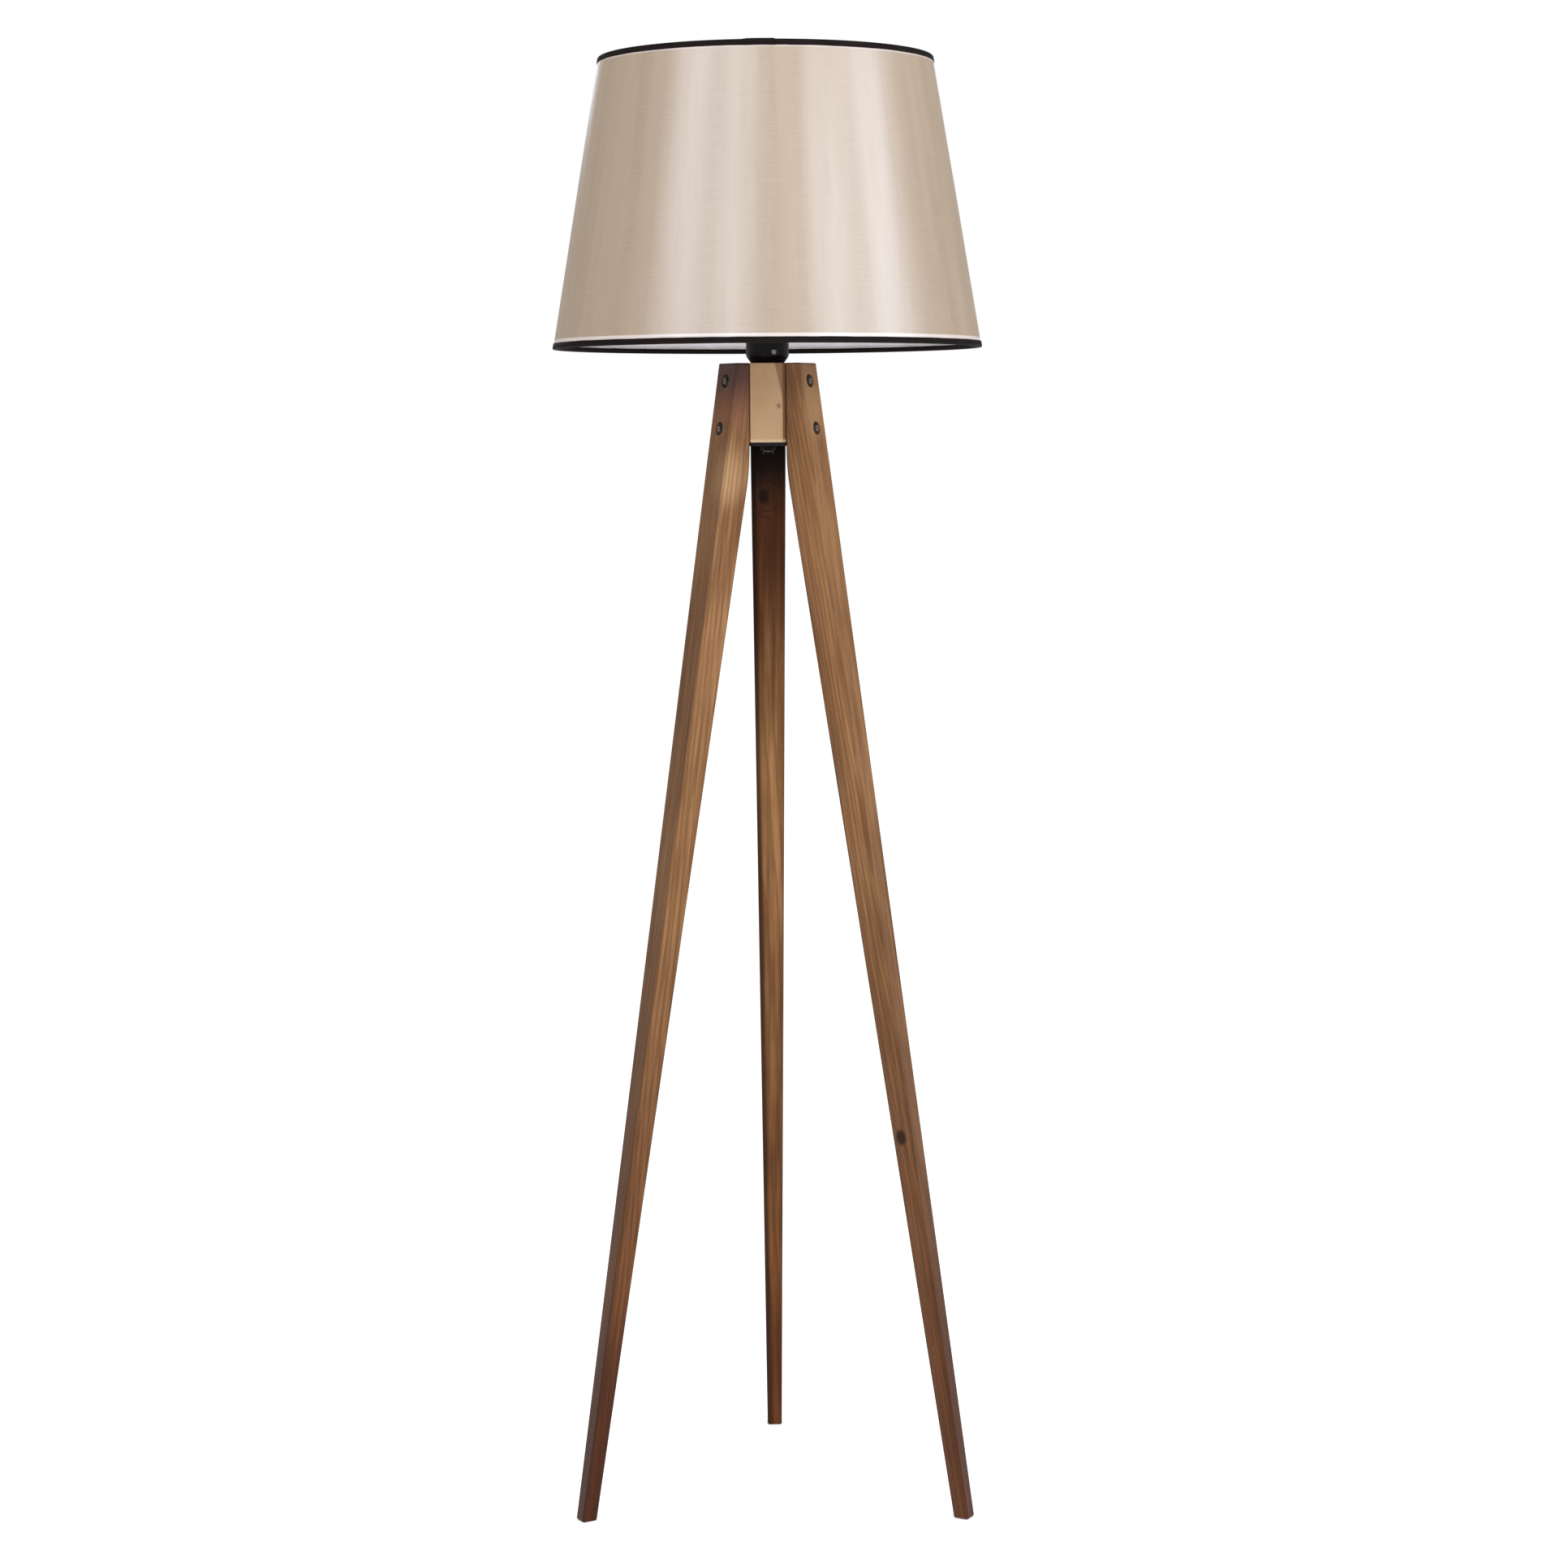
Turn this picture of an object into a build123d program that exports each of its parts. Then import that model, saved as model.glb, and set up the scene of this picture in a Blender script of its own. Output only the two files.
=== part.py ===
"""Tripod floor lamp: three tapered wooden legs bolted to a six-sided wooden head block, an E27
lampholder on a threaded tube, an LED lamp, and a conical fabric shade clamped by a ring nut.

Millimetres, +Z up. The origin is on the floor, on the lamp's vertical axis. +X is to the right and -Y is
the front, where an open face of the head block shows between the left and the right leg.
"""
from build123d import *
import math
import os

# Whole lamp
total_height = 1524.0
leg_azimuths = {"leg_left": 210.0, "leg_right": 330.0, "leg_back": 90.0}

# Head block: a hexagonal prism with three faces for the legs and three open faces between them
head_top = 1208.5
head_height = 82.5
leg_face_distance = 32.0
leg_face_width = 39.0
head_bore_radius = 5.25
head_edge_chamfer = 0.8

# Legs, measured radially (outer and inner face) and across
leg_outer_top = 48.0
leg_outer_foot = 238.0
leg_inner_foot = 220.8
leg_mating_bottom = 1098.0
leg_bend_radius = 240.0
leg_top_width = 39.0
leg_foot_width = 16.4
leg_edge_rounding = 2.4
leg_top_rounding = 1.0

# Two button-head bolts hold each leg, each in a threaded insert in the head block
bolt_rows = {"upper": (1190.0, 30.0), "lower": (1140.8, 40.0)}
bolt_radius = 3.0
bolt_clearance_radius = 3.3
bolt_tip_chamfer = 0.6
bolt_head_radius = 6.5
bolt_head_height = 3.4
bolt_head_rim = 0.9
bolt_crown_share = (0.72, 0.8)
bolt_socket_across_flats = 3.0
bolt_socket_depth = 1.8
spot_face_radius = 7.0
spot_face_depth = 2.6
insert_length = 13.0
insert_pocket_depth = 18.0
insert_radius = 4.6
insert_rib_radius = 5.1
insert_rib_pitch = 2.6
insert_bore_radius = 3.05

# Steel plate under the head block, and the threaded tube with its washer, nut and cord inlet
plate_thickness = 3.5
plate_bore_radius = 5.05
tube_radius = 5.0
tube_bore_radius = 4.0
tube_above_head = 7.5
tube_below_head = 10.0
tube_end_chamfer = 0.3
washer_radius = 9.0
washer_thickness = 1.0
nut_across_flats = 14.0
nut_height = 4.0
nut_face_radius = 7.0
nut_crown_radius = 8.3
nut_crown_height = 1.0
inlet_bore_radius = 3.4
inlet_flange_radius = 6.0
inlet_flange_thickness = 1.5
inlet_flange_rounding = 0.6
inlet_sleeve_length = 8.0

# Lampholder
cap_height = 25.5
cap_radius = 22.5
cap_base_radius = 17.0
cap_base_height = 7.5
cap_base_rounding = 0.8
cap_shoulder_rounding = 5.0
cap_wall = 2.0
cap_floor = 2.5
cap_floor_rounding = 1.0
cap_ledge_width = 2.5
cap_boss_radius = 8.5
holder_rounding = 0.4
carrier_bottom = 7.5
carrier_thickness = 8.0
carrier_radius = 20.3
carrier_boss_radius = 8.0
carrier_boss_height = 6.0
skirt_spigot_wall = 2.0
skirt_flange_thickness = 4.0
skirt_top = 59.5
skirt_bore_radius = 15.2
skirt_rim_rounding = 0.8
skirt_thread_start = 1.5
skirt_thread_major = 20.0
skirt_thread_minor = 18.9
skirt_thread_pitch = 2.5
skirt_thread_turns = 10
terminal_distance = 13.0
terminal_radius = 1.5
terminal_length = 6.0
terminal_head_radius = 2.6
terminal_head_height = 2.0
terminal_slot_depth = 0.7
screw_slot_width = 0.8
lock_screw_azimuth = 287.0
lock_screw_height = 11.5
lock_screw_radius = 1.5
lock_screw_length = 9.0
lock_screw_head_radius = 2.5
lock_screw_head_height = 1.6
lock_screw_sink = 0.3
lock_screw_slot_depth = 0.8

# The spring leaf under the lamp's tip: foot, crest and free end, measured from the lamp's axis
leaf_foot_end = -7.0
leaf_foot_bend = -3.6
leaf_crest_half = 1.6
leaf_free_end = 6.0
leaf_free_height = 1.2
leaf_free_lean = 0.4
leaf_bend_shift = 0.2
leaf_half_width = 3.0
leaf_tip_gap = 0.1

# E27 lamp thread: rounded rings, the same on the lamp's cap and in the lampholder's screw shell
thread_major = 13.1
thread_minor = 12.1
thread_pitch = 3.6
thread_turns = 5
thread_clearance = 0.3
shell_thickness = 0.4
shell_lip = 2.0
sheet_metal = 0.5

# Every ringed thread: shares of the pitch where a flank and its crest begin and end
flank_start = 0.15
crest_start = 0.45
crest_end = 0.55
flank_end = 0.85

# LED lamp, measured up from the tip of its centre contact
lamp_tip_height = 25.9
lamp_insulator_height = 6.0
lamp_insulator_edge = 0.8
lamp_insulator_rounding = 0.5
lamp_contact_height = 1.6
lamp_contact_face_radius = 2.8
lamp_contact_radius = 4.6
lamp_contact_rim = 1.0
lamp_contact_rounding = 0.5
lamp_collar_radius = 4.8
lamp_cap_height = 27.0
lamp_cap_lip = 1.6
lamp_cap_lip_wall = 0.4
lamp_cap_top_step = 0.6
lamp_cap_edge = 1.0
lamp_neck_radius = 13.8
lamp_neck_top = 36.0
lamp_neck_rounding = 12.0
lamp_shoulder_rounding = 14.0
lamp_shoulder_drop = 8.0
lamp_housing_radius = 29.0
lamp_housing_top = 66.0
lamp_radius = 30.0
lamp_swell_angle = 10.0
lamp_height = 109.0
lamp_wall = 1.5
led_board_thickness = 1.6
led_count = 10
led_circle_radius = 17.0
led_size = 2.8
led_height = 0.8

# Shade: a cone of cloth on a liner, with a wire ring and a folded tape at each rim
shade_height = 300.0
shade_top_radius = 173.6
shade_bottom_radius = 224.2
fabric_thickness = 0.6
liner_thickness = 0.7
tape_thickness = 0.8
tape_height = 6.0
tape_inner_height = 5.0
tape_rounding = 0.9
tape_lap_length = 28.0
tape_lap_thickness = 0.6
upper_lap_azimuth = 268.4
lower_lap_azimuth = 90.0
rim_wire_radius = 1.6
wire_slack = 0.1
spoke_radius = 1.5
fitter_hole_radius = 20.6
fitter_radius = 30.0
fitter_thickness = 1.5
fitter_gap = 0.05
spoke_overlap = 2.0

# Ring nut that clamps the shade's fitter on the lampholder
ring_bore_radius = 20.06
ring_radius = 24.5
ring_flange_radius = 27.0
ring_flange_thickness = 1.6
ring_height = 8.0
ring_rounding = 0.5
ring_rib_count = 18
ring_rib_radius = 1.0
ring_rib_stop = 1.0

# How far a cutting body reaches past the face that it cuts
past = 1.0

head_bottom = head_top - head_height
shade_bottom = total_height - shade_height
flange_top = head_top + cap_height + skirt_flange_thickness
plate_bottom = head_bottom - plate_thickness
fitter_bottom = flange_top + fitter_gap
ring_bottom = fitter_bottom + fitter_thickness + fitter_gap
lamp_tip = head_top + lamp_tip_height


def turned(*corners, arc=360.0):
    """A body turned about Z, from corners (radius, height) or (radius, height, rounding)."""
    points = [corner[:2] for corner in corners]
    roundings = [corner[2] if len(corner) > 2 else 0 for corner in corners]
    if any(roundings):
        outline = FilletPolyline(*points, radius=roundings, close=True)
    else:
        outline = Polyline(*points, close=True)
    return revolve(Plane.XZ * make_face(outline), axis=Axis.Z, revolution_arc=arc)


def rod(radius, bottom, top):
    """A cylinder about Z from one height to another."""
    return Pos(0, 0, bottom) * Cylinder(radius, top - bottom, align=(Align.CENTER, Align.CENTER, Align.MIN))


def tube(outer, inner, bottom, top):
    return rod(outer, bottom, top) - rod(inner, bottom - past, top + past)


def hexagon(across_flats, bottom, top):
    outline = RegularPolygon(across_flats / 2, 6, major_radius=False)
    return Pos(0, 0, bottom) * extrude(outline, amount=top - bottom)


def pointed_outwards(shape, azimuth, height):
    """Turns a shape made about Z so that its Z points away from the lamp's axis, at a height."""
    return Rot(0, 0, azimuth) * Pos(0, 0, height) * Rot(0, 90, 0) * shape


def ringed_outline(minor, major, start, pitch, turns):
    """The side of a ringed thread, going up: (radius, height) with one crest in each pitch."""
    corners = []
    for turn in range(turns):
        low = start + turn * pitch
        corners.append((minor, low + flank_start * pitch))
        corners.append((major, low + crest_start * pitch))
        corners.append((major, low + crest_end * pitch))
        corners.append((minor, low + flank_end * pitch))
    return corners


def leg_outer(height):
    """Distance of the legs' outer face from the lamp's axis."""
    return leg_outer_foot + (leg_outer_top - leg_outer_foot) * height / head_top


def shade_radius(height):
    """Radius of the cloth's outside."""
    share = (height - shade_bottom) / shade_height
    return shade_bottom_radius + (shade_top_radius - shade_bottom_radius) * share


def seat_distance(height):
    """Distance of a bolt head's seat from the lamp's axis."""
    return leg_outer(height) - spot_face_depth


def leg():
    """One leg, lying out along +X: flat against the block above, tapered both ways below."""
    side = Polyline(
        (leg_face_distance, head_top),
        (leg_outer_top, head_top),
        (leg_outer_foot, 0),
        (leg_inner_foot, 0),
        (leg_face_distance, leg_mating_bottom),
        close=True,
    )
    side_face = make_face(side)
    bend = side_face.vertices().sort_by_distance((leg_face_distance, leg_mating_bottom))[0]
    side_face = fillet(bend, leg_bend_radius)
    plank = extrude(Plane.XZ * side_face, amount=leg_top_width, both=True)
    front = Polyline(
        (-leg_top_width / 2, head_top),
        (leg_top_width / 2, head_top),
        (leg_foot_width / 2, 0),
        (-leg_foot_width / 2, 0),
        close=True,
    )
    bar = plank & extrude(Plane.YZ * make_face(front), amount=leg_outer_foot + past)
    foot_edges = bar.faces().sort_by(Axis.Z)[0].edges()
    body = fillet([edge for edge in bar.edges() if is_long(edge)] + foot_edges, leg_edge_rounding)
    body = fillet(body.faces().sort_by(Axis.Z)[-1].edges(), leg_top_rounding)
    for height, _ in bolt_rows.values():
        hole = rod(bolt_clearance_radius, 0, leg_outer_foot)
        spot_face = rod(spot_face_radius, seat_distance(height), leg_outer_foot)
        body -= pointed_outwards(hole, 0, height)
        body -= pointed_outwards(spot_face, 0, height)
    return body


def is_long(edge):
    """True for an edge that runs down a leg, not across it."""
    return abs((edge @ 1 - edge @ 0).Z) > leg_top_width / 2


def head_outline():
    """The block's outline seen from above: a face for each leg, with open faces between them."""
    corners = []
    for azimuth in sorted(leg_azimuths.values()):
        face = Rot(0, 0, azimuth)
        for side in (-1, 1):
            corner = face * Pos(leg_face_distance, side * leg_face_width / 2, 0)
            corners.append((corner.position.X, corner.position.Y))
    return make_face(Polyline(*corners, close=True))


def head_block():
    block = Pos(0, 0, head_bottom) * extrude(head_outline(), amount=head_height)
    ends = [block.faces().sort_by(Axis.Z)[0], block.faces().sort_by(Axis.Z)[-1]]
    block = chamfer([edge for end in ends for edge in end.edges()], head_edge_chamfer)
    block -= rod(head_bore_radius, head_bottom - past, head_top + past)
    for azimuth in leg_azimuths.values():
        for height, _ in bolt_rows.values():
            pocket = rod(insert_rib_radius, leg_face_distance - insert_length, leg_face_distance + past)
            bolt_tip = rod(bolt_clearance_radius, leg_face_distance - insert_pocket_depth, leg_face_distance)
            block -= pointed_outwards(pocket + bolt_tip, azimuth, height)
    return block


def head_plate():
    """The black steel plate under the block, as wide as the block."""
    plate = Pos(0, 0, plate_bottom) * extrude(head_outline(), amount=plate_thickness)
    return plate - rod(plate_bore_radius, plate_bottom - past, head_bottom + past)


def threaded_insert():
    """A ribbed sleeve along +Z, whose mouth is flush with the block's face."""
    bottom = leg_face_distance - insert_length
    ribs = int(insert_length // insert_rib_pitch)
    side = ringed_outline(insert_radius, insert_rib_radius, bottom, insert_rib_pitch, ribs)
    return turned(
        (insert_bore_radius, bottom),
        (insert_radius, bottom),
        *side,
        (insert_radius, leg_face_distance),
        (insert_bore_radius, leg_face_distance),
    )


def leg_bolt(seat, length):
    """A button-head bolt along +Z with its head's underside at a distance from the lamp's axis."""
    head_top_distance = seat + bolt_head_height
    dome = Polyline((0, seat), (bolt_head_radius, seat), (bolt_head_radius, seat + bolt_head_rim))
    crown = ThreePointArc(
        (bolt_head_radius, seat + bolt_head_rim),
        (bolt_head_radius * bolt_crown_share[0], seat + bolt_head_height * bolt_crown_share[1]),
        (0, head_top_distance),
    )
    head = revolve(Plane.XZ * make_face(dome + crown + Line((0, head_top_distance), (0, seat))), axis=Axis.Z)
    socket_bottom = head_top_distance - bolt_socket_depth
    head -= hexagon(bolt_socket_across_flats, socket_bottom, head_top_distance + past)
    shank = chamfer(rod(bolt_radius, seat - length, seat).edges().sort_by(Axis.Z)[0], bolt_tip_chamfer)
    return head + shank


def threaded_tube():
    body = tube(tube_radius, tube_bore_radius, head_bottom - tube_below_head, head_top + tube_above_head)
    ends = body.edges().group_by(Axis.Z)
    return chamfer(ends[0] + ends[-1], tube_end_chamfer)


def tube_washer():
    return tube(washer_radius, tube_radius, plate_bottom - washer_thickness, plate_bottom)


def tube_nut():
    """A hexagon nut whose lower corners are turned off."""
    top = plate_bottom - washer_thickness
    bottom = top - nut_height
    crown = turned(
        (0, bottom),
        (nut_face_radius, bottom),
        (nut_crown_radius, bottom + nut_crown_height),
        (nut_crown_radius, top),
        (0, top),
    )
    return (hexagon(nut_across_flats, bottom, top) & crown) - rod(tube_radius, bottom - past, top + past)


def cord_inlet():
    """A plastic bushing in the tube's lower mouth, with a rounded flange for the cord to pass over."""
    mouth = head_bottom - tube_below_head
    return turned(
        (inlet_bore_radius, mouth - inlet_flange_thickness, inlet_flange_rounding),
        (inlet_flange_radius, mouth - inlet_flange_thickness, inlet_flange_rounding),
        (inlet_flange_radius, mouth),
        (tube_bore_radius, mouth),
        (tube_bore_radius, mouth + inlet_sleeve_length),
        (inlet_bore_radius, mouth + inlet_sleeve_length),
    )


def slot(face, depth):
    """A screwdriver slot cut both ways from a screw's face, along X."""
    return Pos(0, 0, face) * Box(2 * cap_radius, screw_slot_width, 2 * depth)


def lock_screw():
    """A slotted screw along +Z through the cap's wall, into the contact carrier."""
    seat = cap_radius - lock_screw_sink
    end = seat + lock_screw_head_height
    screw = rod(lock_screw_radius, seat - lock_screw_length, seat)
    screw += rod(lock_screw_head_radius, seat, end)
    return screw - slot(end, lock_screw_slot_depth)


def holder_cap():
    """The lampholder's cup: a rounded dome on the head block, with a boss for the threaded tube."""
    ledge = head_top + carrier_bottom
    top = head_top + cap_height
    cup = turned(
        (tube_radius, head_top),
        (cap_base_radius, head_top, cap_base_rounding),
        (cap_radius, head_top + cap_base_height, cap_shoulder_rounding),
        (cap_radius, top, holder_rounding),
        (cap_radius - cap_wall, top),
        (cap_radius - cap_wall, ledge),
        (cap_radius - cap_wall - cap_ledge_width, ledge),
        (cap_base_radius - cap_wall, head_top + cap_floor, cap_floor_rounding),
        (cap_boss_radius, head_top + cap_floor),
        (cap_boss_radius, ledge),
        (tube_radius, ledge),
    )
    hole = rod(lock_screw_radius, 0, 2 * cap_radius)
    hole += rod(lock_screw_head_radius, cap_radius - lock_screw_sink, 2 * cap_radius)
    return cup - pointed_outwards(hole, lock_screw_azimuth, head_top + lock_screw_height)


def contact_carrier():
    """The insulating disc that holds the contacts and their terminal screws."""
    bottom = head_top + carrier_bottom
    top = bottom + carrier_thickness
    disc = rod(carrier_radius, bottom, top) + rod(carrier_boss_radius, top, top + carrier_boss_height)
    disc -= rod(tube_bore_radius, bottom - past, top)
    for side in (-1, 1):
        hole = rod(terminal_radius, bottom - past, bottom + terminal_length)
        disc -= Pos(side * terminal_distance, 0, 0) * hole
    hole = rod(lock_screw_radius, cap_radius - lock_screw_sink - lock_screw_length, 2 * cap_radius)
    return disc - pointed_outwards(hole, lock_screw_azimuth, head_top + lock_screw_height)


def terminal_screws():
    """Two slotted screws in the underside of the contact carrier."""
    bottom = head_top + carrier_bottom
    face = bottom - terminal_head_height
    screw = rod(terminal_radius, bottom, bottom + terminal_length)
    screw += rod(terminal_head_radius, face, bottom)
    screw -= slot(face, terminal_slot_depth)
    return [Pos(side * terminal_distance, 0, 0) * screw for side in (-1, 1)]


def centre_contact():
    """A bent leaf of spring brass under the tip of the lamp."""
    base = head_top + carrier_bottom + carrier_thickness + carrier_boss_height
    crest = lamp_tip - leaf_tip_gap
    crest_half = leaf_crest_half + leaf_bend_shift
    leaf = Polyline(
        (leaf_foot_end, base),
        (leaf_foot_bend, base),
        (-leaf_crest_half, crest - sheet_metal),
        (leaf_crest_half, crest - sheet_metal),
        (leaf_free_end, base + leaf_free_height),
        (leaf_free_end + leaf_free_lean, base + leaf_free_height + sheet_metal),
        (crest_half, crest),
        (-crest_half, crest),
        (leaf_foot_bend - leaf_bend_shift, base + sheet_metal),
        (leaf_foot_end, base + sheet_metal),
        close=True,
    )
    return extrude(Plane.XZ * make_face(leaf), amount=leaf_half_width, both=True)


def screw_shell():
    """The side contact: a thin brass sleeve whose rings follow the lamp's thread."""
    bottom = head_top + carrier_bottom + carrier_thickness
    start = lamp_tip + lamp_insulator_height
    top = start + thread_turns * thread_pitch
    narrow = thread_minor + thread_clearance
    wide = thread_major + thread_clearance
    inner = ringed_outline(narrow, wide, start, thread_pitch, thread_turns)
    sleeve = [(wide, bottom), (wide, start)] + inner + [(wide, top), (wide, top + shell_lip)]
    outside = [(radius + shell_thickness, height) for radius, height in reversed(sleeve)]
    return turned(*sleeve, *outside)


def holder_skirt():
    """The lampholder's threaded collar, with a spigot in the cap and a flange that the shade rests on."""
    spigot = carrier_radius
    bottom = head_top + carrier_bottom + carrier_thickness
    cap_top = head_top + cap_height
    top = head_top + skirt_top
    start = flange_top + skirt_thread_start
    thread = ringed_outline(
        skirt_thread_minor, skirt_thread_major, start, skirt_thread_pitch, skirt_thread_turns
    )
    return turned(
        (spigot - skirt_spigot_wall, bottom),
        (spigot, bottom),
        (spigot, cap_top),
        (cap_radius, cap_top, holder_rounding),
        (cap_radius, flange_top, holder_rounding),
        (skirt_thread_minor, flange_top),
        *thread,
        (skirt_thread_minor, top, skirt_rim_rounding),
        (skirt_bore_radius, top, skirt_rim_rounding),
        (skirt_bore_radius, cap_top),
        (spigot - skirt_spigot_wall, cap_top),
    )


def shade_ring():
    """The ring nut, with grip ribs round its side."""
    top = ring_bottom + ring_height
    nut = turned(
        (ring_bore_radius, ring_bottom),
        (ring_flange_radius, ring_bottom, ring_rounding),
        (ring_flange_radius, ring_bottom + ring_flange_thickness, ring_rounding),
        (ring_radius, ring_bottom + ring_flange_thickness),
        (ring_radius, top, ring_rounding),
        (ring_bore_radius, top),
    )
    rib = rod(ring_rib_radius, ring_bottom + ring_flange_thickness, top - ring_rib_stop)
    for step in range(ring_rib_count):
        nut += Rot(0, 0, 360 / ring_rib_count * step) * Pos(ring_radius, 0, 0) * rib
    return nut


def lamp_screw_cap():
    """The lamp's metal shell with its rounded thread."""
    start = lamp_tip + lamp_insulator_height
    top = lamp_tip + lamp_cap_height
    inside = thread_minor - lamp_cap_lip
    side = ringed_outline(thread_minor, thread_major, start, thread_pitch, thread_turns)
    return turned(
        (inside, start),
        (inside + lamp_cap_lip_wall, start),
        *side,
        (thread_minor, start + thread_turns * thread_pitch),
        (lamp_neck_radius - lamp_cap_top_step, top),
        (thread_minor - shell_thickness, top),
        (inside, top - lamp_cap_edge),
    )


def lamp_insulator():
    """The black glass cone between the lamp's shell and its centre contact."""
    top = lamp_tip + lamp_insulator_height
    bottom = lamp_tip + lamp_contact_height
    edge = thread_minor - lamp_cap_lip
    return turned(
        (0, bottom),
        (lamp_collar_radius, bottom),
        (edge, top - lamp_insulator_edge, lamp_insulator_rounding),
        (edge, top),
        (0, top),
    )


def lamp_tip_contact():
    top = lamp_tip + lamp_contact_height
    return turned(
        (0, lamp_tip),
        (lamp_contact_face_radius, lamp_tip),
        (lamp_contact_radius, lamp_tip + lamp_contact_rim, lamp_contact_rounding),
        (lamp_contact_radius, top),
        (0, top),
    )


def lamp_housing():
    """The lamp's white body, hollow for its driver, widening from the neck to the diffuser."""
    bottom = lamp_tip + lamp_cap_height
    neck_top = lamp_tip + lamp_neck_top
    top = lamp_tip + lamp_housing_top
    shoulder = top - lamp_shoulder_drop
    return turned(
        (thread_minor, bottom),
        (lamp_neck_radius, bottom),
        (lamp_neck_radius, neck_top, lamp_neck_rounding),
        (lamp_housing_radius, shoulder, lamp_shoulder_rounding),
        (lamp_housing_radius, top),
        (lamp_housing_radius - lamp_wall, top),
        (lamp_housing_radius - lamp_wall, shoulder, lamp_shoulder_rounding - lamp_wall),
        (lamp_neck_radius - lamp_wall, neck_top, lamp_neck_rounding + lamp_wall),
        (lamp_neck_radius - lamp_wall, bottom + lamp_wall),
        (thread_minor, bottom + lamp_wall),
    )


def led_board():
    """The round aluminium board in the housing's mouth, with a ring of square emitters."""
    top = lamp_tip + lamp_housing_top
    board = rod(lamp_housing_radius - lamp_wall, top - led_board_thickness, top)
    emitter = Box(led_size, led_size, led_height, align=(Align.CENTER, Align.CENTER, Align.MIN))
    emitter = Pos(led_circle_radius, 0, top) * emitter
    for step in range(led_count):
        board += Rot(0, 0, 360 / led_count * step) * emitter
    return board


def lamp_diffuser():
    """The lamp's opal dome: a short collar that swells into a ball."""
    bottom = lamp_tip + lamp_housing_top
    top = lamp_tip + lamp_height
    ball_centre = top - lamp_radius
    swell_angle = math.radians(lamp_swell_angle)
    swell = ThreePointArc(
        (lamp_housing_radius, bottom),
        (lamp_radius * math.cos(swell_angle), ball_centre - lamp_radius * math.sin(swell_angle)),
        (lamp_radius, ball_centre),
    )
    crown = CenterArc((0, ball_centre), lamp_radius, 0, 90)
    outline = swell + crown + Polyline((0, top), (0, bottom), (lamp_housing_radius, bottom))
    solid = revolve(Plane.XZ * make_face(outline), axis=Axis.Z)
    hollow = rod(lamp_housing_radius - lamp_wall, bottom - past, ball_centre)
    hollow += Pos(0, 0, ball_centre) * Sphere(lamp_radius - lamp_wall)
    return solid - hollow


def cone_wall(outside, thickness):
    """A conical sheet inside the folded tapes, a distance in from the cloth's outside."""
    low = shade_bottom + tape_thickness
    high = total_height - tape_thickness - tape_lap_thickness
    return turned(
        (shade_radius(low) - outside, low),
        (shade_radius(high) - outside, high),
        (shade_radius(high) - outside - thickness, high),
        (shade_radius(low) - outside - thickness, low),
    )


def wire_distance(height):
    """Radius of a rim wire's centre line at a height, against the inside of the liner."""
    return shade_radius(height) - fabric_thickness - liner_thickness - rim_wire_radius - wire_slack


def rim_wire(height):
    radius = wire_distance(height)
    return Pos(0, 0, height) * Torus(radius, rim_wire_radius)


def rim_tape(rim, direction, arc, extra):
    """A folded tape over a rim. Direction is +1 where the rim looks down and -1 where it looks up."""
    wall = fabric_thickness + liner_thickness + 2 * (rim_wire_radius + wire_slack)
    fold = tape_thickness + extra
    outer_end = rim + direction * tape_height
    inner_end = rim + direction * tape_inner_height
    floor = rim + direction * tape_thickness
    edge = rim - direction * extra
    return turned(
        (shade_radius(outer_end) + fold, outer_end),
        (shade_radius(rim) + fold, edge, tape_rounding),
        (shade_radius(rim) - wall - tape_thickness, edge, tape_rounding),
        (shade_radius(inner_end) - wall - tape_thickness, inner_end),
        (shade_radius(inner_end) - wall, inner_end),
        (shade_radius(floor) - wall, floor),
        (shade_radius(floor), floor),
        (shade_radius(outer_end), outer_end),
        arc=arc,
    )


def lapped_tape(rim, direction, lap_azimuth):
    """A rim's tape with the short doubled stretch where its ends lap."""
    lap_arc = math.degrees(tape_lap_length / shade_radius(rim))
    lap = rim_tape(rim, direction, lap_arc, tape_lap_thickness)
    return rim_tape(rim, direction, 360.0, 0.0) + Rot(0, 0, lap_azimuth - lap_arc / 2) * lap


def spoke(radius):
    """One straight wire from the fitter's rim out to the lower rim wire, along +X."""
    inner_end = Vector(fitter_radius - spoke_overlap, 0, fitter_bottom + fitter_thickness / 2)
    rim_height = shade_bottom + tape_thickness + rim_wire_radius
    outer_end = Vector(wire_distance(rim_height), 0, rim_height)
    path = outer_end - inner_end
    return Plane(origin=inner_end, z_dir=path) * rod(radius, 0, path.length)


def three_spokes(radius):
    return [Rot(0, 0, azimuth) * spoke(radius) for azimuth in leg_azimuths.values()]


def joined(solids):
    whole = solids[0]
    for solid in solids[1:]:
        whole += solid
    return whole


fitter_ring = tube(fitter_radius, fitter_hole_radius, fitter_bottom, fitter_bottom + fitter_thickness)
lower_wire = rim_wire(shade_bottom + tape_thickness + rim_wire_radius)
upper_rim = total_height - tape_lap_thickness
lower_tape = lapped_tape(shade_bottom, 1, lower_lap_azimuth)
lower_tape -= joined(three_spokes(spoke_radius + wire_slack))

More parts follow.
